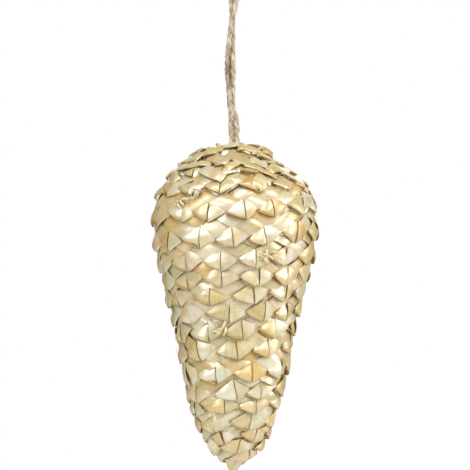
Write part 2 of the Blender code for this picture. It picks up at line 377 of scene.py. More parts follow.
class Plait:
    """Where the plait's lower edge runs and where its points hang."""

    def __init__(self, cone):
        self.cone = cone
        self.first = CROWN_HOLE_RADIUS
        self.last = cone.length - STUB_RADIUS
        fronts = [Vector((k - a / 360, s * cone.length)) for k, (a, s) in enumerate(TURNS)]
        line = smooth_curve(fronts, 8)
        self.turns = [p.x for p in line]
        self.downs = [p.y for p in line]
        self.tips = self.spread_points(fronts)
        self.end = self.tips[-1]
        self.start = self.tips[0]

    def down(self, turn):
        return read_at(turn, self.turns, self.downs)

    def spread_points(self, fronts):
        """The turn of every point, evenly spread between one front point and the next."""
        chance = random.Random(SEED)
        tips = []
        for here, there in zip(fronts, fronts[1:]):
            around = math.tau * self.cone.radius((here.y + there.y) / 2) * (there.x - here.x)
            count = max(LEAST_POINTS, round(around / POINT_SPACING))
            for i in range(count):
                nudge = chance.uniform(-0.12, 0.12) if i else 0.0
                tips.append(here.x + (there.x - here.x) * (i + nudge) / count)
        return [*tips, fronts[-1].x]

    def width(self, turn):
        """How much of a turn shows, from the edge of the turn above to its own."""
        above = self.down(turn - 1) if turn - 1 > self.start else self.first
        return max(min(self.down(turn), self.last) - above, 0.0)

    def fade(self, turn):
        """0 at the plait's two ends and 1 everywhere else."""
        return limit(min(turn - self.start, self.end - turn) / FADE_TURNS)

    def shown(self, turn):
        """How far up the straw shows at one spot: to the zigzag edge of the turn above."""
        above = turn - 1
        if above <= self.start:
            return max(self.width(turn), LEAST_SHOWN)
        i = bisect.bisect_right(self.tips, above)
        nearest = min(above - self.tips[i - 1], self.tips[i] - above)
        slant = nearest * math.tau * self.cone.radius(self.down(above)) * math.tan(FOLD_ANGLE)
        return self.width(turn) + min(slant, NOTCH_LIMIT * self.width(above)) * self.fade(above)

    def crevice(self, turn):
        """How strongly shadow is painted below the turn above: a half at the tip of a point,
        growing to 1 at the notch to its left, and 0 under the right half of the next point."""
        above = turn - 1
        if above <= self.start:
            return 0.0
        i = bisect.bisect_right(self.tips, above)
        far = (above - self.tips[i - 1]) / (self.tips[i] - self.tips[i - 1]) * 2
        return 0.5 + 0.5 * far if far < 1 else ease((1.25 - far) / 0.25)


class Point:
    """One point of the plait: a straw that comes down leftwards as a strap, folds over the
    lower left edge and runs up again in front of itself. x is to the right of the point's
    tip along its turn, y is up, and height is over the plait."""

    def __init__(self, plait, before, turn, after, chance, own):
        self.around = math.tau * max(plait.cone.radius(plait.down(turn)), CROWN_HOLE_RADIUS)
        turn += limit(own.gauss(0, TIP_SWAY), -2 * TIP_SWAY, 2 * TIP_SWAY) / self.around
        self.plait, self.turn = plait, turn
        self.fade = plait.fade(turn)
        self.lift = (POINT_LIFT + POINT_UNEVENNESS * chance.uniform(-0.75, 1)) * self.fade
        chance.choice((-0.5, 0.5))  # the solids draw this too, and later draws have to agree
        self.sag = POINT_UNEVENNESS * chance.uniform(-1, 1) * self.fade
        self.left = (after - turn) / 2 * self.around
        self.right = (turn - before) / 2 * self.around
        self.left_rise = self.notch((turn + after) / 2, self.left)
        self.right_rise = self.notch((turn + before) / 2, self.right)
        self.slit = max(2 * self.left_rise, LEAST_SLIT)
        self.width = plait.width(turn)
        self.split = own.random() < 0.2
        self.gap = 0.0005 if self.split else own.uniform(0.00003, 0.0001)
        self.lean = limit(own.gauss(0, 0.10), -0.22, 0.22) * self.fade
        crown = limit(1 - plait.down(turn) / CROWN_REACH)
        self.loose = 1 + 0.5 * crown
        self.puff = own.uniform(0.0, 0.0003) * self.fade
        self.curl = own.uniform(0.0, 0.0003) * self.fade
        self.perk = own.uniform(-0.0008, 0.0004) * crown * self.fade

    def notch(self, turn, half):
        rise = half * math.tan(FOLD_ANGLE)
        return min(rise, NOTCH_LIMIT * self.plait.width(turn)) * self.plait.fade(turn)

    def half(self, side):
        """The width of one half of the point and the rise of its lower edge."""
        return (self.left, self.left_rise) if side < 0 else (self.right, self.right_rise)

    def leaning(self, spot):
        """The same spot when the whole point leans to one side."""
        turned = spot - Vector((0, self.left_rise))
        cos, sin = math.cos(self.lean), math.sin(self.lean)
        turned = Vector((turned.x * cos - turned.y * sin, turned.x * sin + turned.y * cos))
        return turned + Vector((0, self.left_rise))

    def swell(self, y):
        """How far the point's straw stands out, y up its slit, before it curls in below."""
        share = limit(y / self.slit)
        curled = self.curl * (1 - limit(share / 0.4)) ** 2
        return self.puff * math.sin(math.pi * share**0.8) - curled

    def spot(self, x, y, height):
        """The place of a spot of this point's straw."""
        plait = self.plait
        turn = self.turn - x / self.around
        low = plait.down(turn) + self.sag * (1 - limit(abs(x) / self.left))
        share = limit(y / plait.shown(limit(turn, plait.start, plait.end - 0.001)), 0.0, 1.15)
        side = limit(abs(x) / (self.left if x < 0 else self.right), 0.0, 1.2)
        rightward = ease(-1.2 * math.sin(math.tau * turn))
        far_stand = (blend(0.0008, 0.0002, rightward) if x < 0 else -0.0007) * self.fade
        stand = blend(0.6 * self.lift, far_stand, side) * (1 - limit(y / self.slit))
        stand += self.perk * (1 - side) * (1 - 0.5 * limit(y / self.slit))
        down = limit(low - y, plait.first * 0.7, plait.cone.length)
        base = -0.55 * PLAIT_THICKNESS * share**1.8 * limit(self.fade * 3)
        spot = plait.cone.place(turn, down, base + stand + height)
        crumple = noise.noise(spot * CRUMPLES) * CRUMPLE_HEIGHT * self.loose
        return plait.cone.place(turn, down, base + stand + height + crumple)

    def shadow(self, x, y):
        """How brown the straw is painted, as shadow, where it goes in under the turn above."""
        plait = self.plait
        turn = limit(self.turn - x / self.around, plait.start, plait.end - 0.001)
        depth = plait.crevice(turn)
        return depth * ease((y / plait.shown(turn) - 0.87 + 0.06 * depth**3) / 0.10)


def find_points(plait):
    chance, own = random.Random(SEED + 1), random.Random(SEED + 5)
    tips = plait.tips
    points = [Point(plait, *three, chance, own) for three in zip(tips, tips[1:], tips[2:])]
    for i, point in enumerate(points):
        near = points[max(i - 3, 0):i + 4]
        point.pitch = sum(one.left + one.right for one in near) / (2 * len(near))
    return points


def new_shape():
    """An empty mesh whose spots carry the run of the fibres and the straw's tone, painted sheen
    and painted shade.
    """
    shape = bmesh.new()
    shape.verts.layers.float_vector.new("fibre")
    shape.verts.layers.float_color.new("finish")
    return shape


def lay_strip(shape, columns, rows, place, finish):
    """One flat strip of straw. place(across, along) gives a spot, its fibre and how much it is
    darkened and dulled, mostly as painted shade.
    """
    fibre = shape.verts.layers.float_vector["fibre"]
    marks = shape.verts.layers.float_color["finish"]
    grid = bmesh.ops.create_grid(shape, x_segments=columns, y_segments=rows, size=0.5)
    for vert in grid["verts"]:
        across, along = vert.co.x + 0.5, vert.co.y + 0.5
        vert.co, vert[fibre], shade_and_wear = place(across, along)
        vert[marks] = (*finish, shade_and_wear)


def lay_half(shape, point, side, over, chance, finish):
    """One half of a point, left (-1) or right (1) of its slit: a straw folded round the
    point's lower edge and into the slit. over says whether its top lies on the strap."""
    half, rise = point.half(side)
    reach = half * chance.uniform(0.92, 1.04)
    if side < 0:
        lap, droop = chance.uniform(0.0010, 0.0020), chance.uniform(0.0001, 0.0004)
        roll = FOLD_RADIUS * chance.uniform(0.50, 0.75)
        grain = chance.choices((30, 60, 90), (6, 2, 3))[0]
    else:
        lap, droop = chance.uniform(0.0008, 0.0014), chance.uniform(0.0001, 0.0003)
        roll = FOLD_RADIUS * chance.uniform(0.25, 0.40)
        grain = chance.choices((90, 30, 8), (4, 3, 3))[0]
    crease = SLIT_FOLD * chance.uniform(0.6, 1.2)
    grain = math.radians(grain + chance.gauss(0, 6))
    run = Vector((math.cos(grain) * side, math.sin(grain)))
    square = Vector((-run.y, run.x))
    belly, hump = chance.uniform(0.03, 0.09), chance.uniform(0.010, 0.028)
    middle = Vector((0.4 * half * side, point.slit * chance.uniform(0.4, 0.65)))
    proud = chance.uniform(0.0001, 0.0004)
    tilt = chance.gauss(0, 0.12) * point.loose
    sink = 0.0 if side < 0 else chance.uniform(0.0004, 0.0010)
    number = chance.uniform(0, 9)
    blunt = chance.uniform(0.0001, 0.0008)
    # How dark the underside of the fold is painted as shade: darker on left halves, whose lower
    # edge faces away from the light
    underside_shade = chance.uniform(0.6, 1.0) if side < 0 else chance.uniform(0.2, 0.5)
    slope = rise / half
    outward = Vector((slope * side, -1)).normalized()
    lean_in = math.atan(2 * droop / lap)
    into_slit, under = 0.17, 0.333  # the shares of the straw that fold into the slit and under

    def place(across, along):
        share = across if side > 0 else 1 - across
        inner = limit(1 - share / into_slit)
        far = limit((share - into_slit) / (1 - into_slit))
        low = limit(1 - along / under)
        up = limit((along - under) / (1 - under)) ** 1.4
        x = blend(point.gap + crease, reach, far)
        foot = slope * x + roll + blunt * (1 - limit(x / BLUNT_REACH)) ** 2
        head = max(point.slit + 0.0013 - (point.slit - rise) * x / half, foot + 0.0004)
        spot = Vector((x * side, blend(foot, head, up)))
        off, away = (spot - middle).dot(square), (spot - middle).dot(run)
        height = proud + tilt * off - off * off / (2 * belly) - away * away / (2 * hump)
        height = max(height, -0.0008) + point.swell(spot.y)
        height -= droop * (1 - limit((spot.y - foot) * 0.87 / lap)) ** 2
        sunk = 1 - limit((spot.y - foot) / (0.8 * point.slit))
        height -= sink * (0.4 + 0.6 * limit(x / half)) * sunk
        height -= (0.0001 if over else 0.0006) * ease((up - 0.35) / 0.65)
        bend = lean_in + (math.radians(168) - lean_in) * low
        spot += outward * roll * (math.sin(bend) - math.sin(lean_in))
        spot.x -= side * crease * math.sin(1.2 * inner)
        height -= roll * (math.cos(lean_in) - math.cos(bend))
        height -= 2 * crease * (1 - math.cos(1.2 * inner))
        fibre = Vector((spot.dot(run), spot.dot(square) - low * 2.5 * roll, number))
        # Painted shade: brown along the lower left edge, on the underside of the fold, in the fold
        # into the slit and, on left halves, at the notch at the far end
        edge = 0.2 * (1 - limit((spot.y - foot) / lap)) ** 2 if side < 0 else 0.0
        turned = ease((bend - lean_in) / 0.45) * ease(low * 4) * underside_shade
        shade_and_wear = max(edge, turned, 0.85 * ease(inner))
        if side < 0:
            shade_and_wear = max(shade_and_wear, ease((x / half - 0.75) / 0.2) * (1 - limit((spot.y - foot) / 0.0015)))
        return point.spot(*point.leaning(spot), height), fibre, shade_and_wear

    lay_strip(shape, 7, 9, place, finish)


def lay_sliver(shape, point, chance, finish):
    """A narrow strip of the straw behind that shows inside a wide slit."""
    wide = point.gap * chance.uniform(0.8, 1.0)
    number = chance.uniform(0, 9)
    depth = chance.uniform(0.0001, 0.0005)

    def place(across, along):
        x, y = blend(-wide, wide, across), blend(0.0012, point.slit + 0.001, along)
        height = point.swell(y) - depth - 0.0004 * (2 * across - 1) ** 2
        return point.spot(*point.leaning(Vector((x, y))), height), Vector((y, x, number)), 0.0

    lay_strip(shape, 3, 6, place, finish)


def lay_hem(shape, point, wide, chance, finish):
    """The rolled lower left edge of a point: a narrow band with fibres along it."""
    half, slope = point.left, point.left_rise / point.left
    thick = PLAIT_THICKNESS * chance.uniform(0.45, 0.70)
    outward = Vector((-slope, -1)).normalized()
    first, last = chance.uniform(0.0, 0.0008), half * chance.uniform(0.97, 1.06)
    start = math.radians(chance.uniform(10, 22))
    blunt = chance.uniform(0.0003, 0.0010)
    number = chance.uniform(0, 9)
    proud = chance.uniform(0.0001, 0.0004)
    droop = chance.uniform(-0.0003, 0.0002)

    def place(across, along):
        share = 1 - across
        x = blend(first, last, share)
        foot = slope * x + wide + blunt * (1 - limit(x / BLUNT_REACH)) ** 2
        turn = blend(math.radians(172), start, along)
        out = (math.sin(turn) - math.sin(start)) / (1 - math.sin(start))
        drop = (math.cos(start) - math.cos(turn)) / (1 + math.cos(start))
        spot = Vector((-x, foot)) + outward * wide * out
        narrow = 1 - 0.35 * ease((share - 0.7) / 0.3)
        height = proud * narrow + droop * share - thick * drop * narrow + point.swell(foot)
        height -= 0.0005 * ease((x / half - 0.85) / 0.2)
        fibre = Vector((math.hypot(x, slope * x), turn * 0.0009, number))
        # Painted shade: the band is browned all along, and more as it turns down and under
        shade_and_wear = 0.45 + 0.55 * ease((turn - 0.6) / 0.8)
        return point.spot(*point.leaning(spot), height), fibre, shade_and_wear

    lay_strip(shape, 4, 6, place, finish)


def lay_strap(shape, point, level, way, chance, finish):
    """One crossing of the straps over the points: level 1 lies between this point and the
    next to its right, 2 over this point, 3 over 1. The strap runs up to the right (way 1)
    or to the left (-1), bowed over its middle, with its ends under what crosses it."""
    between = level % 2 == 1
    half = point.right if between else (point.left + point.right) / 2
    rise = min(point.pitch * math.tan(FOLD_ANGLE), NOTCH_LIMIT * point.width) * point.fade
    rise = max(rise, LEAST_RISE)
    centre = Vector((half if between else (point.right - point.left) / 2, rise * (level + 1)))
    centre += Vector((chance.gauss(0, 0.0003), chance.gauss(0, 0.0002)))
    length = Vector((half * way, rise)) / 2
    width = Vector((-half * way, rise)) / 2
    across_width = abs(length.cross(width)) / length.length
    past = chance.uniform(1.2, 1.4)
    full = chance.uniform(0.96, 1.05)
    bow = chance.uniform(0.0003, 0.0009)
    crest = chance.uniform(-0.35, 0.35)
    belly = chance.uniform(0.03, 0.1)
    tilt = chance.gauss(0, 0.09) * point.loose
    twist = chance.gauss(0, 0.04)
    depth = 0.00015 + 0.0001 * level + chance.uniform(-0.0001, 0.0001)
    number = chance.uniform(0, 9)

    def place(along, across):
        far = past * (2 * along - 1)
        off = full * (2 * across - 1)
        side = off * across_width
        spot = centre + length * far + width * off * (1 + twist * far)
        height = tilt * side - side * side / (2 * belly) - bow * (far - crest) ** 2
        height = max(height, -0.0013) - depth - 0.0004 * ease((abs(far) - 0.9) / 0.3)
        fibre = Vector((far * length.length, side, number))
        # Painted shade: brown at the ends that go in under what crosses the strap, and as shadow
        # where it goes in under the turn above
        shade_and_wear = max(0.4 * ease((abs(far) - 0.75) / 0.4), 0.9 * point.shadow(spot.x, spot.y))
        return point.spot(spot.x, spot.y, height), fibre, shade_and_wear

    if way > 0:
        lay_strip(shape, 6, 4, place, finish)
    else:
        lay_strip(shape, 4, 6, lambda across, along: place(along, across), finish)


def lay_backing(shape, point, chance, finish):
    """A layer of the plait that shows below the folded lower left edge of a point."""
    half, slope = point.left, point.left_rise / point.left
    drop = chance.uniform(0.0001, 0.0010)
    first, last = chance.uniform(0.05, 0.35), chance.uniform(0.65, 0.98)
    depth = chance.uniform(0.0012, 0.0018)
    number = chance.uniform(0, 9)

    def place(across, along):
        x = -half * blend(last, first, across)
        y = -slope * x - drop + along * 0.003
        height = -depth - 0.0006 * (1 - limit(along * 4)) ** 2
        fibre = Vector((x, along * 0.003, number))
        return point.spot(*point.leaning(Vector((x, y))), height), fibre, 0.25

    lay_strip(shape, 4, 4, place, finish)


def lay_patch(shape, cone, turn, down, length, width, slant, lift, chance, finish):
    """A loose strap that lies across the turns, its lower edge folded under it."""
    around = math.tau * cone.radius(down)
    run, square = headings(slant)
    roll = chance.uniform(0.0004, 0.0008)
    belly = chance.uniform(0.02, 0.05)
    tilt = chance.gauss(0, 0.08)
    dive = chance.uniform(0.0008, 0.0018)
    taper = chance.uniform(-0.3, 0.3)
    number = chance.uniform(0, 9)
    under = 0.375  # the share of the straw that is folded under

    def place(across, along):
        far = (across - 0.5) * length
        low, up = limit(1 - along / under), limit((along - under) / (1 - under))
        bend = 2.9 * low
        wide = width * (1 + taper * (2 * across - 1))
        off = wide * (up - 0.5) - roll * math.sin(bend)
        spot = run * far + square * off
        height = lift + tilt * off - (wide * (up - 0.45)) ** 2 / (2 * belly)
        height -= roll * (1 - math.cos(bend)) + 0.0008 * ease((up - 0.6) / 0.4)
        height -= dive * ease((abs(2 * across - 1) - 0.85) / 0.25)
        height += 0.0007 * noise.noise(Vector((far * 260, off * 200, number)))
        low_enough = limit(down - spot.y, CROWN_MARGIN, cone.length)
        spot = cone.place(turn - spot.x / around, low_enough, height)
        # Painted shade: browner as the lower edge turns under
        shade_and_wear = 0.5 * ease(bend / 0.5) + 0.4 * ease((bend - 1.0) / 0.5)
        return spot, Vector((far, wide * up - bend * roll, number)), shade_and_wear

    lay_strip(shape, 8, 8, place, finish)


def lay_knot(shape, cone, angle, down, reach, chance):
    """A crumpled knot of narrow straw: short strips arched over one another."""
    turn, around = -angle / 360, math.tau * cone.radius(down)
    for _ in range(KNOT_STRIPS):
        centre = Vector((chance.gauss(0, 0.25), chance.gauss(0, 0.2))) * reach
        run, square = headings(chance.uniform(0, math.pi))
        length, width = reach * chance.uniform(0.6, 1.0), chance.uniform(0.0008, 0.0015)
        arch, twist = chance.uniform(0.0008, 0.0018), chance.uniform(-0.8, 0.8)
        number = chance.uniform(0, 9)

        def place(across, along):
            far, off = (across - 0.5) * length, (along - 0.5) * width
            spot = centre + run * far + square * (off + 0.3 * length * (across - 0.5) ** 2)
            height = arch * (1 - (2 * across - 1) ** 2) + twist * off * (2 * across - 1)
            height += 0.0002 - 0.0004 * (2 * along - 1) ** 2
            spot = cone.place(turn - spot.x / around, down - spot.y, height)
            return spot, Vector((far, off, number)), 0.3 * abs(2 * along - 1)

        lay_strip(shape, 7, 4, place, pick_finish(chance, 0.7))


def lay_stub(shape, cone, chance):
    """The cut ends of the straws that draw together below the cone's tip."""
    for turn, drop, width in STUB_STRAWS:
        away, aside = headings(math.tau * turn)
        bulge, number = chance.uniform(0.0, 0.0004), chance.uniform(0, 9)

        def place(across, along):
            off = (0.5 - across) * width * (1 - STUB_TAPER * along)
            out = blend(STUB_TOP_RADIUS, STUB_END_RADIUS, along**0.75)
            out += bulge * math.sin(math.pi * along) - STUB_CURVE * off * off
            flat = away * out + aside * off
            height = cone.base + STUB_TOP - (STUB_HEIGHT + drop) * along
            fibre = Vector((STUB_HEIGHT * along, off, number))
            shade_and_wear = 0.5 * ease((along - 0.85) / 0.15)
            return Vector((flat.x + STUB_SIDE * along, flat.y, height)), fibre, shade_and_wear

        lay_strip(shape, 4, 6, place, pick_finish(chance, 0.6))


def grow_fibre(shape, cone, angle, down, length, chance):
    """One fine loose fibre that has split off a straw and lifts off the plait."""
    turn, around = -angle / 360, math.tau * cone.radius(down)
    heading, bend = chance.uniform(-2.6, -0.5), chance.uniform(-1.6, 1.6)
    lift = chance.uniform(0.0006, 0.0022)
    spot, line = Vector((0.0, 0.0)), []
    steps = 8
    for i in range(steps + 1):
        share = i / steps
        low_enough = limit(down - spot.y, CROWN_MARGIN, cone.length)
        line.append(cone.place(turn - spot.x / around, low_enough, 0.0009 + lift * share**2))
        way = heading + bend * share
        spot += Vector((math.cos(way), math.sin(way))) * length / steps
    thick = chance.uniform(0.00005, 0.00010)
    finish = (chance.uniform(0.0, 0.3), 0.6, chance.random())
    sweep(shape, line, 4, lambda i, _: thick * (1.1 - i / steps), finish)


def pick_finish(chance, sheen_level, darker=0.0):
    """A straw's (tone from pale to tan, sheen that is painted into its colour and glosses its
    coat, own number) by chance.
    """
    tone = limit(chance.betavariate(0.65, 1.0) + darker)
    shine = limit(chance.gauss(sheen_level, 0.36))
    return tone, shine, chance.random()


def make_object(name, shape):
    mesh = bpy.data.meshes.new(name)
    shape.to_mesh(mesh)
    shape.free()
    piece = bpy.data.objects.new(name, mesh)
    bpy.context.scene.collection.objects.link(piece)
    return piece


def give_thickness(piece, thickness):
    """Thickens strips inwards and keeps their edges crisp."""
    wall = piece.modifiers.new("wall", "SOLIDIFY")
    wall.thickness = thickness
    wall.offset = -1
    wall.use_rim = True
    view = bpy.context.evaluated_depsgraph_get()
    mesh = bpy.data.meshes.new_from_object(piece.evaluated_get(view), depsgraph=view)
    piece.modifiers.clear()
    piece.data = mesh
    mesh.shade_smooth()
    mesh.set_sharp_from_angle(angle=math.radians(48))
    mesh.name = piece.name
    return piece


def lay_points(points, chance):
    """The plait, straw by straw: the points' folded halves, their hems and the straps."""
    halves, hems, straps = new_shape(), new_shape(), new_shape()
    ways = [chance.choices((1, -1), (3, 1))[0] for _ in points]
    for point, way, left_way in zip(points, ways, [*ways[1:], 1]):
        lay_half(halves, point, -1, left_way < 0, chance, pick_finish(chance, 0.6, 0.1))
        lay_half(halves, point, 1, way > 0, chance, pick_finish(chance, 0.85))
        if point.split:
            lay_sliver(straps, point, chance, pick_finish(chance, 0.9))
        if chance.random() < 0.55:
            wide = chance.uniform(0.0009, 0.0015)
            # The hem's straw is drawn darker and with little sheen, as painted shade on a band
            # that faces down
            lay_hem(hems, point, wide, chance, pick_finish(chance, 0.1, 0.2))
        for level in range(1, MOST_CROSSINGS + 1):
            if point.right_rise * level >= point.width + CROSSINGS_REACH:
                break
            # Straps that run up to the right get more painted sheen than those running up to the
            # left, for how their fibres catch the light
            finish = pick_finish(chance, 0.95 if way > 0 else 0.5)
            lay_strap(straps, point, level, way, chance, finish)
            way = chance.choices((-way, way), (6, 1))[0]
        if chance.random() < 0.5:
            lay_backing(straps, point, chance, pick_finish(chance, 0.5))
    return halves, hems, straps


def lay_loose_straps(cone, chance):
    """What lies on the plait: loose straps, crumpled knots and the cut ends at the tip."""
    loose = new_shape()
    for angle, down, length, width, slant, lift, sheen_level in LOOSE_STRAPS:
        size = (down / 1000, length / 1000, width / 1000, math.radians(slant), lift / 1000)
        lay_patch(loose, cone, -angle / 360, *size, chance, pick_finish(chance, sheen_level))
    for i in range(LOOSE_STRAPS_BEHIND):
        turn = -blend(*BEHIND, (i + chance.uniform(0.2, 0.8)) / LOOSE_STRAPS_BEHIND) / 360
        down, length = chance.uniform(0.012, 0.036), chance.uniform(0.008, 0.020)
        size = (down, length, chance.uniform(0.004, 0.0065), chance.uniform(-0.6, 0.6))
        lift = chance.uniform(0.0004, 0.0012)
        lay_patch(loose, cone, turn, *size, lift, chance, pick_finish(chance, 0.5))
    for knot in KNOTS:
        lay_knot(loose, cone, *knot, chance)
    lay_stub(loose, cone, chance)
    return loose


def grow_fibres(cone, chance):
    """All the fine loose fibres."""
    fine = new_shape()
    for angle, down in LOOSE_FIBRES:
        grow_fibre(fine, cone, angle, down / 1000, chance.uniform(0.004, 0.009), chance)
    for _ in range(LOOSE_FIBRES_ELSEWHERE):
        angle, down = chance.uniform(*ELSEWHERE), chance.uniform(0.01, 0.9 * cone.length)
        grow_fibre(fine, cone, angle, down, chance.uniform(0.003, 0.008), chance)
    bmesh.ops.recalc_face_normals(fine, faces=fine.faces)
    return fine


def make_straw(points, cone):
    chance = random.Random(SEED + 2)
    shapes = [*lay_points(points, chance), lay_loose_straps(cone, chance)]
    fibres = make_object("loose_fibres", grow_fibres(cone, chance))
    fibres.data.shade_smooth()
    names = ("folded_ends", "rolled_hems", "straps", "loose_straps")
    pieces = [make_object(name, shape) for name, shape in zip(names, shapes)]
    return [*(give_thickness(piece, STRAW_THICKNESS) for piece in pieces), fibres]


def make_inner_straw(cone):
    """The inside of the plait, painted dark for the shade it lies in, seen only through the gaps.
    """
    shape = new_shape()

    def place(across, along):
        deeper = ease((cone.length * along - INSIDE_TIP_HEIGHT) / INSIDE_SLOPE_HEIGHT)
        depth = blend(INSIDE_TIP_DEPTH, PLAIT_THICKNESS + INSIDE_GAP, deeper)
        spot = cone.place(0.5 - across, cone.length * (1 - along), -depth)
        if min(along, 1 - along) < 0.001:
            spot.x = spot.y = 0.0
        return spot, Vector((spot.z, across * 0.2, 0)), 1.0

    lay_strip(shape, 48, 40, place, (0.8, 0, 0.5))
    bmesh.ops.remove_doubles(shape, verts=shape.verts, dist=0.00001)
    bmesh.ops.recalc_face_normals(shape, faces=shape.faces)
    piece = make_object("inner_straw", shape)
    piece.data.shade_smooth()
    return piece


def turning_frames(points):
    """For each point of a line its place, direction and two directions square to it."""
    frames = []
    side = Vector((0, 1, 0))
    for i, point in enumerate(points):
        ahead = points[min(i + 1, len(points) - 1)] - points[max(i - 1, 0)]
        along = ahead.normalized()
        side = (side - along * side.dot(along)).normalized()
        frames.append((point, along, side, along.cross(side)))
    return frames


def grown_from(vert, new):
    """The one of the new spots that was drawn out of this one."""
    return next(edge.other_vert(vert) for edge in vert.link_edges if edge.other_vert(vert) in new)


def sweep(shape, line, segments, radius_at, finish):
    """A closed tube along a line of points."""
    fibre = shape.verts.layers.float_vector["fibre"]
    marks = shape.verts.layers.float_color["finish"]
    run = lengths_along(line)
    circle = bmesh.ops.create_circle(shape, cap_ends=False, segments=segments, radius=1)["verts"]
    edges = list({edge for vert in circle for edge in vert.link_edges})
    turns = [math.tau * k / segments for k in range(segments)]
    first = ring = sorted(circle, key=lambda v: math.atan2(v.co.y, v.co.x) % math.tau)
    for i, (point, _, side, other) in enumerate(turning_frames(line)):
        if i:
            grown = bmesh.ops.extrude_edge_only(shape, edges=edges)["geom"]
            new = {v for v in grown if isinstance(v, bmesh.types.BMVert)}
            edges = [e for e in grown if isinstance(e, bmesh.types.BMEdge)]
            edges = [e for e in edges if e.verts[0] in new and e.verts[1] in new]
            ring = [grown_from(vert, new) for vert in ring]
        for vert, turn in zip(ring, turns):
            radius = radius_at(i, turn)
            vert.co = point + (side * math.cos(turn) + other * math.sin(turn)) * radius
            vert[fibre] = Vector((run[i], turn / math.tau * FIBRE_GIRTH, finish[2] * 9))
            vert[marks] = (*finish, 0)
    for end in (first, ring):
        bmesh.ops.contextual_create(shape, geom=end)


def make_twine():
    """Two plies laid round each other, with the hairs that stand out of them."""
    chance = random.Random(SEED + 3)
    route = [Vector(p) * 0.001 for p in TWINE_ROUTE_MM]
    floor = -LOOP_HEIGHT - CROWN_HOLE_DEPTH + CLEARANCE
    ends = [Vector((p.x, p.y, floor)) for p in (route[0], route[-1])]
    path = even_points(smooth_curve([ends[0], *route, ends[1]], 12), TWINE_STEP)
    frames = turning_frames(path)
    run = lengths_along(path)
    shape = new_shape()
    for ply in range(2):
        phase = math.pi * ply
        line = []
        for (point, _, side, other), far in zip(frames, run):
            turn = phase - math.tau * far / TWIST_LENGTH
            turn += TWIST_WAVER[0] * math.sin(far * TWIST_WAVER[1] + phase)
            out = PLY_OFFSET * (1 + PLY_WAVER[0] * math.sin(far * PLY_WAVER[1] + 2 * phase))
            line.append(point + (side * math.cos(turn) + other * math.sin(turn)) * out)
        swell = [chance.uniform(0.88, 1.10) for _ in range(len(line) // 3 + 2)]

        def radius_at(i, turn, swell=swell):
            thick = blend(swell[i // 3], swell[i // 3 + 1], (i % 3) / 3)
            return PLY_RADIUS * thick * (1 + 0.09 * math.sin(5 * turn + i * 1.1))

        sweep(shape, line, 16, radius_at, (0.35 + 0.3 * ply, 0.0, 0.3 + 0.4 * ply))
    for span in FELTED_SPANS:
        join_legs(shape, path, span, chance)
    bmesh.ops.recalc_face_normals(shape, faces=shape.faces)
    for _ in range(HAIRS):
        grow_hair(shape, frames, chance)
    mark_seam_shade_and_grey_side(shape)
    piece = make_object("jute_twine", shape)
    piece.data.shade_smooth()
    return piece, path


def join_legs(shape, path, span, chance):
    """The felted fibres that fill the gap between the two legs over one span of heights."""
    half = len(path) // 2
    legs = [path[:half], path[:half - 1:-1]]
    line = []
    steps = round((span[1] - span[0]) / TWINE_STEP)
    for i in range(steps + 1):
        z = blend(*span, i / steps)
        line.append(sum((read_at(z, [p.z for p in leg], leg) for leg in legs), Vector()) / 2)
    swell = [chance.uniform(0.7, 1.2) for _ in line]

    def radius_at(i, turn):
        return FELT_RADIUS * swell[i] * (0.3 + 0.7 * ease(min(i, steps - i) / 5))

    sweep(shape, line, 8, radius_at, (0.2, 0.0, chance.random()))


def grow_hair(shape, frames, chance):
    """One fine hair that lies round the twine and lifts off it at its end."""
    start = chance.randrange(3, len(frames) - 8)
    turn = chance.uniform(0, math.tau)
    length = chance.uniform(*HAIR_LENGTHS)
    lift = chance.choice(HAIR_LIFTS) * chance.uniform(0.3, 1.0)
    way = chance.choice((-1, 1))
    steps = 5
    line = []
    for i in range(steps + 1):
        share = i / steps
        step = round(start + way * share * length / TWINE_STEP * HAIR_SLANT)
        point, along, side, other = frames[int(limit(step, 0, len(frames) - 1))]
        angle = turn - share * length / HAIR_TURN
        out = PLY_RADIUS + PLY_OFFSET * 0.85 + lift * share**2
        slide = along * way * (share * length * HAIR_SLANT - abs(step - start) * TWINE_STEP)
        line.append(point + slide + (side * math.cos(angle) + other * math.sin(angle)) * out)
    thick = chance.uniform(0.00004, 0.00010)
    finish = (chance.uniform(0.0, 1.0), 0.0, chance.random())
    sweep(shape, line, 3, lambda i, _: thick * (1.15 - i / steps), finish)


def mark_seam_shade_and_grey_side(shape):
    """Paints brown shade into the seam between the legs, and marks the grey outer side of the left
    one.
    """
    marks = shape.verts.layers.float_color["finish"]
    for vert in shape.verts:
        near = []
        for x, wide, z, high in (SEAM_SHADE, GREY_SIDE):
            side = ease(1.4 - abs(vert.co.x - x) / wide)
            near.append(side * ease(1.4 - abs(vert.co.z - z) / high))
        tone, _, number, _ = vert[marks]
        vert[marks] = (tone, near[1], number, near[0])


def add_node(tree, kind, **values):
    node = tree.nodes.new("ShaderNode" + kind)
    for name, value in values.items():
        setattr(node, name, value)
    return node


def wire(tree, source, target):
    tree.links.new(source, target)


def arithmetic(tree, operation, first, second):
    node = add_node(tree, "Math", operation=operation)
    for socket, value in zip(node.inputs, (first, second)):
        if isinstance(value, (int, float)):
            socket.default_value = value
        else:
            wire(tree, value, socket)
    return node.outputs[0]


def plus(tree, first, second):
    return arithmetic(tree, "ADD", first, second)


def minus(tree, first, second):
    return arithmetic(tree, "SUBTRACT", first, second)


def times(tree, first, second):
    return arithmetic(tree, "MULTIPLY", first, second)


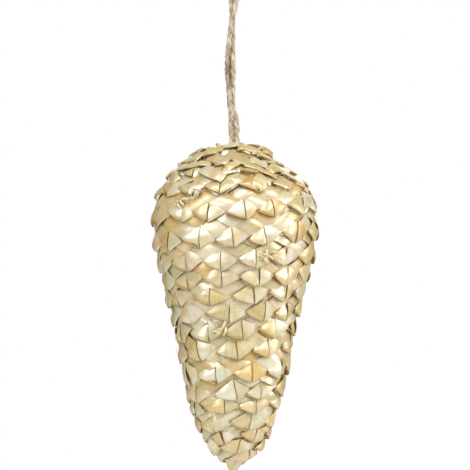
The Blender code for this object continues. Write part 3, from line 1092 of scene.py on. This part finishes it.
def make_fibre_group():
    """Long fine streaks along a stem, the ribs that they stand on, and soft clouds."""
    group = bpy.data.node_groups.new("long_fibres", "ShaderNodeTree")
    for name, kind in (("Fibre", "Vector"), ("Lines across", "Float"), ("Lines along", "Float")):
        group.interface.new_socket(name, in_out="INPUT", socket_type="NodeSocket" + kind)
    for name in ("Streaks", "Ribs", "Clouds"):
        group.interface.new_socket(name, in_out="OUTPUT", socket_type="NodeSocketFloat")
    entry = group.nodes.new("NodeGroupInput")
    leave = group.nodes.new("NodeGroupOutput")
    parts = add_node(group, "SeparateXYZ")
    wire(group, entry.outputs["Fibre"], parts.inputs[0])

    def grain(along, across, detail):
        place = add_node(group, "CombineXYZ")
        wire(group, times(group, parts.outputs[0], along), place.inputs[0])
        wire(group, times(group, parts.outputs[1], across), place.inputs[1])
        wire(group, parts.outputs[2], place.inputs[2])
        node = add_node(group, "TexNoise")
        node.inputs["Scale"].default_value = 1.0
        node.inputs["Detail"].default_value = detail
        node.inputs["Roughness"].default_value = 0.6
        wire(group, place.outputs[0], node.inputs["Vector"])
        return node.outputs[0]

    across = entry.outputs["Lines across"]
    wire(group, grain(entry.outputs["Lines along"], across, 3), leave.inputs["Streaks"])
    wire(group, grain(35.0, times(group, across, 0.35), 1), leave.inputs["Ribs"])
    wire(group, grain(210.0, 70.0, 1), leave.inputs["Clouds"])
    return group


def read_lines(tree, fibres, across, along):
    """The streaks, ribs and clouds along a piece's own fibres, so many lines a metre."""
    run = add_node(tree, "Attribute", attribute_name="fibre")
    lines = add_node(tree, "Group", node_tree=fibres)
    wire(tree, run.outputs["Vector"], lines.inputs["Fibre"])
    lines.inputs["Lines across"].default_value = across
    lines.inputs["Lines along"].default_value = along
    return lines.outputs


def read_finish(tree):
    """The four marks of a piece: on straw its tone, painted sheen, number, and painted shade that
    also dulls it.
    """
    marks = add_node(tree, "Attribute", attribute_name="finish")
    parts = add_node(tree, "SeparateColor")
    wire(tree, marks.outputs["Color"], parts.inputs[0])
    return [*parts.outputs, marks.outputs["Alpha"]]


def add_relief(tree, shader, height, strength, distance):
    bump = add_node(tree, "Bump")
    bump.inputs["Strength"].default_value = strength
    bump.inputs["Distance"].default_value = distance
    wire(tree, height, bump.inputs["Height"])
    wire(tree, bump.outputs[0], shader.inputs["Normal"])


def ramp(tree, source, stops):
    node = add_node(tree, "ValToRGB")
    wire(tree, source, node.inputs[0])
    band = node.color_ramp
    while len(band.elements) < len(stops):
        band.elements.new(0.5)
    for element, (place, color) in zip(band.elements, stops):
        element.position = place
        element.color = (*color, 1)
    return node.outputs[0]


def mix(tree, share, first, second, way="MIX"):
    node = add_node(tree, "Mix", data_type="RGBA", blend_type=way)
    for place, value in ((0, share), (6, first), (7, second)):
        socket = node.inputs[place]
        if isinstance(value, (int, float)):
            socket.default_value = value
        elif isinstance(value, tuple):
            socket.default_value = (*value, 1)
        else:
            wire(tree, value, socket)
    return node.outputs[2]


def start_material(name):
    material = bpy.data.materials.new(name)
    material.use_nodes = True
    tree = material.node_tree
    return material, tree, tree.nodes["Principled BSDF"]


def make_straw_finish(fibres):
    """Flattened, satin straw: cream, gold and tan stems with a painted pearly sheen and painted
    shade.
    """
    material, tree, shader = start_material("satin_straw")
    streaks, ribs, clouds = read_lines(tree, fibres, across=1700, along=60)
    tone, sheen_level, number, shade_and_wear = read_finish(tree)

    # Stems from cream to tan, with a sheen painted as whiter soft areas where they are pearly
    shade = plus(tree, tone, times(tree, minus(tree, 0.5, clouds), 0.5))
    stems = [
        (0.0, (0.67, 0.60, 0.33)),
        (0.3, (0.70, 0.58, 0.24)),
        (0.6, (0.72, 0.53, 0.18)),
        (1.0, (0.72, 0.46, 0.12)),
    ]
    sheen_whites = [(0.0, (0.91, 0.90, 0.83)), (0.5, (0.86, 0.90, 0.80)), (1.0, (0.94, 0.90, 0.80))]
    sheen_clouds = ramp(tree, clouds, [(0.30, (0.1, 0.1, 0.1)), (0.64, (1, 1, 1))])
    painted_sheen = times(tree, sheen_level, sheen_clouds)
    body, white = ramp(tree, shade, stems), ramp(tree, number, sheen_whites)
    color = mix(tree, times(tree, painted_sheen, 0.66), body, white)

    # Each stem's own depth of colour, and its fine dark and pale streaks
    own_shade = ramp(tree, number, [(0.0, (0.80, 0.75, 0.60)), (0.6, (1, 1, 1))])
    color = mix(tree, 1.0, color, own_shade, "MULTIPLY")
    dark = ramp(tree, streaks, [(0.27, (0.58, 0.43, 0.22)), (0.47, (1, 1, 1))])
    color = mix(tree, 0.5, color, dark, "MULTIPLY")
    light = ramp(tree, streaks, [(0.5, (0, 0, 0)), (0.7, (1, 1, 1))])
    color = mix(tree, times(tree, light, 0.22), color, (0.92, 0.86, 0.62))

    # Painted shade: brown where a straw is folded or goes in under others, and duller there
    browns = [(0.3, (0.55, 0.34, 0.11)), (0.65, (0.38, 0.20, 0.055)), (1.0, (0.13, 0.055, 0.014))]
    shaded_and_worn = times(tree, shade_and_wear, 0.85)
    color = mix(tree, shaded_and_worn, color, ramp(tree, shade_and_wear, browns))
    wire(tree, color, shader.inputs["Base Color"])
    rough = plus(tree, times(tree, streaks, 0.25), times(tree, shaded_and_worn, 0.4))
    wire(tree, plus(tree, rough, 0.22), shader.inputs["Roughness"])
    clean = minus(tree, 1.0, shaded_and_worn)
    wire(tree, times(tree, clean, 0.12), shader.inputs["Metallic"])
    gloss = plus(tree, times(tree, painted_sheen, 0.7), 0.32)
    wire(tree, times(tree, gloss, clean), shader.inputs["Coat Weight"])
    relief = plus(tree, streaks, times(tree, ribs, 1.6))
    add_relief(tree, shader, relief, strength=0.45, distance=0.00013)
    shader.inputs["Specular IOR Level"].default_value = 0.4
    shader.inputs["Coat Roughness"].default_value = 0.36
    shader.inputs["Coat IOR"].default_value = 3.1
    return material


def make_inner_finish(fibres):
    """Straw inside the plait, its colour painted dark brown for the shade it lies in."""
    material, tree, shader = start_material("shaded_straw")
    streaks = read_lines(tree, fibres, across=2600, along=70)["Streaks"]
    color = ramp(tree, streaks, [(0.3, (0.10, 0.05, 0.02)), (0.7, (0.30, 0.17, 0.08))])
    wire(tree, color, shader.inputs["Base Color"])
    shader.inputs["Roughness"].default_value = 0.8
    return material


def make_twine_finish(fibres):
    """Hairy two-ply jute: pale grey-brown fibres with brown shade painted into the seam and a grey
    side.
    """
    material, tree, shader = start_material("hairy_jute")
    streaks = read_lines(tree, fibres, across=5200, along=420)["Streaks"]
    tone, grey, _, brown = read_finish(tree)

    # Dark between the fibres and pale on them, then the painted seam shade and the grey side in
    # spots
    shade = plus(tree, times(tree, streaks, 0.9), times(tree, tone, 0.34))
    jute = [(0.40, (0.17, 0.12, 0.07)), (0.56, (0.52, 0.42, 0.30)), (0.80, (0.86, 0.77, 0.63))]
    color = ramp(tree, shade, jute)
    spotted = ramp(tree, streaks, [(0.42, (1, 1, 1)), (0.62, (0.35, 0.35, 0.35))])
    color = mix(tree, times(tree, spotted, brown), color, (0.12, 0.042, 0.008))
    color = mix(tree, times(tree, times(tree, spotted, grey), 0.8), color, (0.13, 0.12, 0.12))
    wire(tree, color, shader.inputs["Base Color"])
    shader.inputs["Roughness"].default_value = 0.75
    add_relief(tree, shader, streaks, strength=0.8, distance=0.00022)
    return material


def make_stage_finish():
    material, tree, shader = start_material("pale_floor")
    shader.inputs["Base Color"].default_value = (0.8, 0.8, 0.79, 1)
    shader.inputs["Roughness"].default_value = 0.9
    return material


def make_camera():
    camera = bpy.data.objects.new("camera", bpy.data.cameras.new("camera"))
    camera.data.sensor_width = 36
    camera.data.lens = 36 * VIEW_DISTANCE / VIEW_WIDTH
    camera.data.clip_end = 20
    camera.location = (0, -VIEW_DISTANCE, VIEW_HEIGHT)
    camera.rotation_euler = (math.pi / 2, 0, 0)
    bpy.context.scene.collection.objects.link(camera)
    bpy.context.scene.camera = camera


def add_softbox(name, place, size, power, color):
    lamp = bpy.data.lights.new(name, "AREA")
    lamp.shape = "DISK"
    lamp.size = size
    lamp.energy = power
    lamp.color = color
    box = bpy.data.objects.new(name, lamp)
    aim = (Vector((0, 0, AIM_HEIGHT)) - Vector(place)).to_track_quat("-Z", "Y")
    box.matrix_world = Matrix.Translation(place) @ aim.to_matrix().to_4x4()
    bpy.context.scene.collection.objects.link(box)


def make_background():
    """A white background for the eye, and a dimmer, warmer light for everything else."""
    world = bpy.data.worlds.new("studio")
    bpy.context.scene.world = world
    world.use_nodes = True
    tree = world.node_tree
    shown = tree.nodes["Background"]
    shown.inputs["Color"].default_value = (1, 1, 1, 1)
    shown.inputs["Strength"].default_value = 1.0
    light = add_node(tree, "Background")
    light.inputs["Color"].default_value = (1, 0.86, 0.64, 1)
    light.inputs["Strength"].default_value = 0.24
    choose = add_node(tree, "MixShader")
    wire(tree, add_node(tree, "LightPath").outputs["Is Camera Ray"], choose.inputs[0])
    wire(tree, light.outputs[0], choose.inputs[1])
    wire(tree, shown.outputs[0], choose.inputs[2])
    wire(tree, choose.outputs[0], tree.nodes["World Output"].inputs[0])


def make_studio():
    shape = bmesh.new()
    bmesh.ops.create_circle(shape, cap_ends=True, segments=64, radius=FLOOR_RADIUS)
    bmesh.ops.translate(shape, verts=shape.verts, vec=(0, 0, FLOOR_HEIGHT))
    floor = make_object("floor", shape)
    floor.data.materials.append(make_stage_finish())
    for softbox in SOFTBOXES:
        add_softbox(*softbox)
    make_background()
    bpy.context.scene.view_settings.view_transform = "Standard"


def dress(piece, material, slot, *nodes):
    piece.data.materials.clear()
    piece.data.materials.append(material)
    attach(piece, "root")
    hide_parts(*nodes)


def main():
    make_camera()
    fibres = make_fibre_group()
    twine, path = make_twine()
    dress(twine, make_twine_finish(fibres), "jute_twine", "hanging_cord")
    cone = Cone()
    plait = Plait(cone)
    straw = make_straw_finish(fibres)
    for piece in make_straw(find_points(plait), cone):
        dress(piece, straw, "folded_straw", "straw_cone")
    dress(make_inner_straw(cone), make_inner_finish(fibres), "folded_straw", "straw_cone")
    make_studio()


main()
